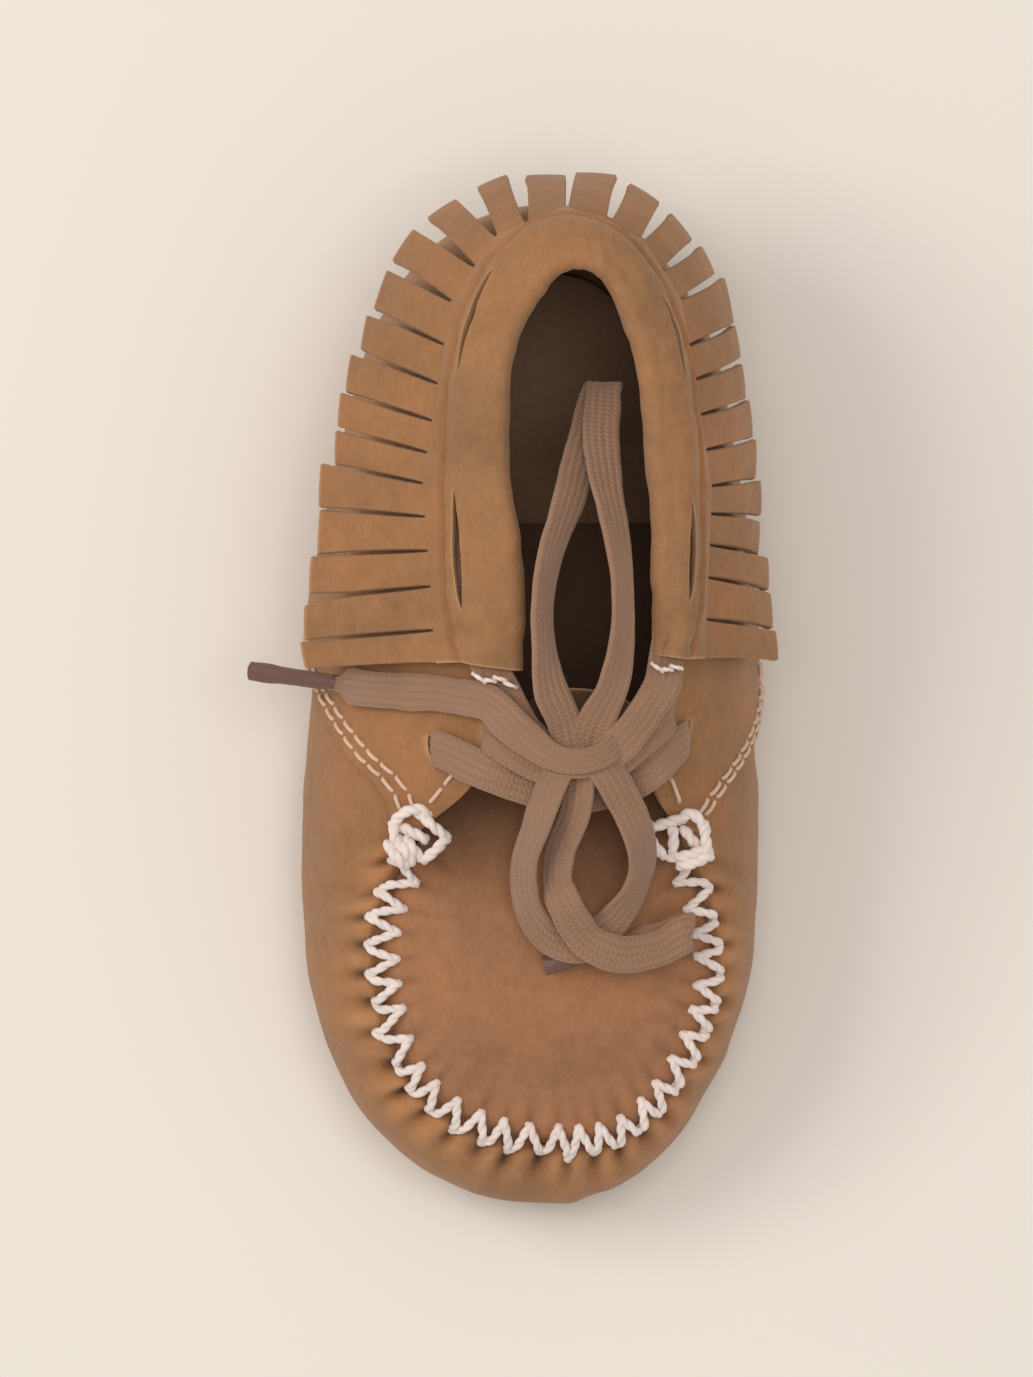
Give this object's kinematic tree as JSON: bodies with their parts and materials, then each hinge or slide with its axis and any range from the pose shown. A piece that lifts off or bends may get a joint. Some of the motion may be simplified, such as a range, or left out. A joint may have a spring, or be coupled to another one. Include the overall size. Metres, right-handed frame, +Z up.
{
  "type": "moccasin",
  "caption": "Baby's tan suede moccasin with a gathered toe plug, a fringed folded collar and a flat lace tied in a bow.",
  "frame": {"origin": "on the ground, under the middle of the shoe without the free ends of its lace", "axes": "+Z up, +Y towards the heel, -X towards the outer side of the foot; the toe points along -Y"},
  "size_m": [0.064, 0.1249, 0.0551],
  "materials": {
    "tan_suede": "napped suede, matte",
    "plug_suede": "napped suede, matte, a little redder",
    "collar_suede": "napped suede, matte, a little lighter",
    "lace": "flat ribbed weave, matte taupe",
    "white_thread": "thick off-white thread, satin",
    "seam_thread": "thin cream thread",
    "aglet": "moulded lace tip, satin brown",
    "insole_fabric": "brushed lining, dark brown",
    "sock_leather": "smooth lining leather, dark grey-brown"
  },
  "bodies": {
    "shoe": {"sole_wrap": "tan_suede", "toe_plug": "plug_suede", "quarter_outer": "tan_suede", "quarter_inner": "tan_suede", "collar_cuff": "collar_suede", "fringe_band": "tan_suede", "insole_pad": "insole_fabric", "heel_sock": "sock_leather", "lace_collar": "lace", "lace_knot": "lace", "lace_crossing": "lace", "lace_lead_outer": "lace", "lace_lead_inner": "lace", "lace_loop_rear": "lace", "lace_loop_front": "lace", "lace_end_outer": "lace", "lace_end_inner": "lace", "aglet_outer": "aglet", "aglet_inner": "aglet", "toe_seam_thread": "white_thread", "tack_outer": "white_thread", "tack_inner": "white_thread", "side_seam_outer_lower": "seam_thread", "side_seam_outer_upper": "seam_thread", "side_seam_inner_lower": "seam_thread", "side_seam_inner_upper": "seam_thread", "throat_seam_outer": "seam_thread", "throat_seam_inner": "seam_thread", "collar_tack_outer": "white_thread", "collar_tack_inner": "white_thread"},
    "fringe_outer_front": {"fringe_outer_front_strand_1": "tan_suede", "fringe_outer_front_strand_2": "tan_suede", "fringe_outer_front_strand_3": "tan_suede", "fringe_outer_front_strand_4": "tan_suede", "fringe_outer_front_strand_5": "tan_suede"},
    "fringe_outer_rear": {"fringe_outer_rear_strand_1": "tan_suede", "fringe_outer_rear_strand_2": "tan_suede", "fringe_outer_rear_strand_3": "tan_suede", "fringe_outer_rear_strand_4": "tan_suede", "fringe_outer_rear_strand_5": "tan_suede"},
    "fringe_heel_1": {"fringe_heel_1_strand_1": "tan_suede", "fringe_heel_1_strand_2": "tan_suede"},
    "fringe_heel_2": {"fringe_heel_2_strand_1": "tan_suede", "fringe_heel_2_strand_2": "tan_suede"},
    "fringe_heel_3": {"fringe_heel_3_strand_1": "tan_suede", "fringe_heel_3_strand_2": "tan_suede"},
    "fringe_heel_4": {"fringe_heel_4_strand_1": "tan_suede", "fringe_heel_4_strand_2": "tan_suede"},
    "fringe_inner_rear": {"fringe_inner_rear_strand_1": "tan_suede", "fringe_inner_rear_strand_2": "tan_suede", "fringe_inner_rear_strand_3": "tan_suede", "fringe_inner_rear_strand_4": "tan_suede", "fringe_inner_rear_strand_5": "tan_suede"},
    "fringe_inner_front": {"fringe_inner_front_strand_1": "tan_suede", "fringe_inner_front_strand_2": "tan_suede", "fringe_inner_front_strand_3": "tan_suede", "fringe_inner_front_strand_4": "tan_suede", "fringe_inner_front_strand_5": "tan_suede"}
  },
  "joints": [
    {"name": "lift_fringe_outer_front", "type": "hinge", "parent": "shoe", "child": "fringe_outer_front", "pos_m": [-0.01253, 0.01366, 0.04532], "axis": [-0.0725, 0.9972, 0.0203], "range_deg": [0, 70]},
    {"name": "lift_fringe_outer_rear", "type": "hinge", "parent": "shoe", "child": "fringe_outer_rear", "pos_m": [-0.01164, 0.03505, 0.04568], "axis": [0.153, 0.9881, 0.0132], "range_deg": [0, 70]},
    {"name": "lift_fringe_heel_1", "type": "hinge", "parent": "shoe", "child": "fringe_heel_1", "pos_m": [-0.00739, 0.04957, 0.04586], "axis": [0.5648, 0.8252, 0.0067], "range_deg": [0, 70]},
    {"name": "lift_fringe_heel_2", "type": "hinge", "parent": "shoe", "child": "fringe_heel_2", "pos_m": [-0.00073, 0.05509, 0.04596], "axis": [0.92, 0.3916, 0.0164], "range_deg": [0, 70]},
    {"name": "lift_fringe_heel_3", "type": "hinge", "parent": "shoe", "child": "fringe_heel_3", "pos_m": [0.00769, 0.0549, 0.04592], "axis": [0.9145, -0.4039, -0.0244], "range_deg": [0, 70]},
    {"name": "lift_fringe_heel_4", "type": "hinge", "parent": "shoe", "child": "fringe_heel_4", "pos_m": [0.01425, 0.04955, 0.04566], "axis": [0.5418, -0.8398, -0.034], "range_deg": [0, 70]},
    {"name": "lift_fringe_inner_rear", "type": "hinge", "parent": "shoe", "child": "fringe_inner_rear", "pos_m": [0.01826, 0.03507, 0.04511], "axis": [0.1605, -0.9863, -0.0372], "range_deg": [0, 70]},
    {"name": "lift_fringe_inner_front", "type": "hinge", "parent": "shoe", "child": "fringe_inner_front", "pos_m": [0.01965, 0.01375, 0.04442], "axis": [-0.0394, -0.9989, -0.0262], "range_deg": [0, 70]}
  ],
  "couplings": [
    {"joint": "lift_fringe_outer_rear", "follows": "lift_fringe_outer_front", "ratio": 1},
    {"joint": "lift_fringe_heel_1", "follows": "lift_fringe_heel_2", "ratio": 1},
    {"joint": "lift_fringe_heel_3", "follows": "lift_fringe_heel_2", "ratio": 1},
    {"joint": "lift_fringe_heel_4", "follows": "lift_fringe_heel_2", "ratio": 1},
    {"joint": "lift_fringe_inner_front", "follows": "lift_fringe_inner_rear", "ratio": 1}
  ]
}
